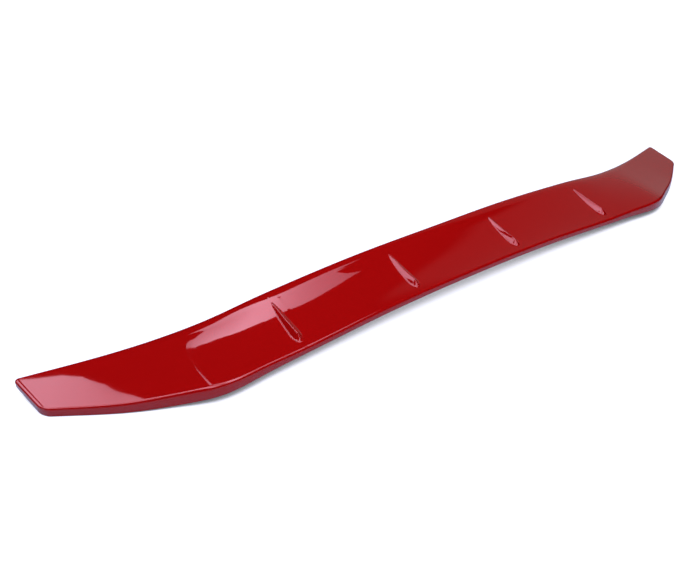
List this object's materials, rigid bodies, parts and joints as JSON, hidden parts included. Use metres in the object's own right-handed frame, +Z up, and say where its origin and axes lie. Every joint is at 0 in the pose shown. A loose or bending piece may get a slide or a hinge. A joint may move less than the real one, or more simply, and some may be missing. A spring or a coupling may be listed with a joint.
{
  "type": "rear lip spoiler",
  "caption": "Long, low rear lip spoiler with swept ears and a row of teardrop vortex fins, closed underneath and bonded on with foam tape.",
  "frame": {"origin": "middle of the part's length and depth, on the surface that its two ears rest on", "axes": "+X along the part to its right ear as seen from behind the car, +Y from the rear edge to the front edge, +Z up"},
  "size_m": [1.2464, 0.1655, 0.0567],
  "materials": {
    "paint": "deep red gloss paint under clear lacquer",
    "panel_plastic": "black moulded plastic, fine grain",
    "foam_tape": "dark grey acrylic foam",
    "liner_film": "thin red release film, satin",
    "seal_rubber": "black extruded rubber, satin"
  },
  "bodies": {
    "root": {"outer_skin": "paint", "closing_panel_left": "panel_plastic", "closing_panel_centre": "panel_plastic", "closing_panel_right": "panel_plastic", "tape_front_left": "foam_tape", "tape_front_centre": "foam_tape", "tape_front_right": "foam_tape", "tape_rear_left": "foam_tape", "tape_rear_centre": "foam_tape", "tape_rear_right": "foam_tape", "tape_ear_left": "foam_tape", "tape_ear_right": "foam_tape", "liner_front_left": "liner_film", "liner_front_centre": "liner_film", "liner_front_right": "liner_film", "liner_rear_left": "liner_film", "liner_rear_centre": "liner_film", "liner_rear_right": "liner_film", "liner_ear_left": "liner_film", "liner_ear_right": "liner_film", "front_edge_seal": "seal_rubber"}
  },
  "joints": []
}
